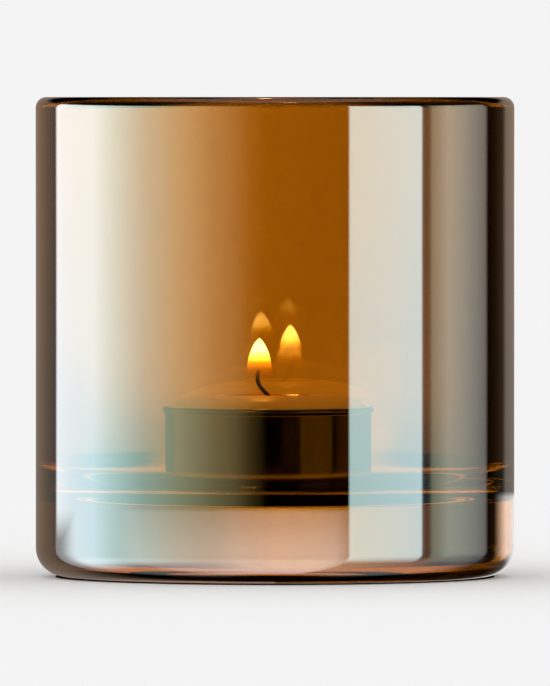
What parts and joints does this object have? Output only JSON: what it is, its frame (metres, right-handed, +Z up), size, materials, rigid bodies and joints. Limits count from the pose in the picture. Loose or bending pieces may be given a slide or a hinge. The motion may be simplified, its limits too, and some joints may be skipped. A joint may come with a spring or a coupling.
{
  "type": "tealight holder",
  "caption": "Heavy-based round glass holder with a rounded rim and amber metallic lustre, holding a loose tealight with aluminium cup, wax pellet, wick and wick sustainer.",
  "frame": {"origin": "centre of the underside of the glass", "axes": "+Z up along the glass's axis, out of its mouth; the tealight stands slightly towards -X, and the wick leans towards -X; the front is -Y"},
  "size_m": [0.085, 0.085, 0.085],
  "materials": {
    "lustre_glass": "clear blown glass, polished, with a thin amber metallic lustre on the outside",
    "cup_aluminium": "pressed thin sheet, satin",
    "candle_wax": "pressed paraffin wax, translucent, softly shining where melted",
    "sustainer_tin": "tinned sheet steel",
    "wick_cotton": "braided cotton, charred above the wax",
    "flame": "glowing flame, no solid piece"
  },
  "bodies": {
    "holder": {"glass_holder": "lustre_glass"},
    "cup": {"tealight_cup": "cup_aluminium"},
    "candle": {"wax_pellet": "candle_wax", "wick_sustainer": "sustainer_tin", "wick": "wick_cotton"}
  },
  "joints": [
    {"name": "tealight_lift", "type": "slide", "parent": "holder", "child": "cup", "axis": [0, 0, 1], "range_m": [0, 0.09]},
    {"name": "pellet_lift", "type": "slide", "parent": "cup", "child": "candle", "axis": [0, 0, 1], "range_m": [0, 0.09]}
  ]
}
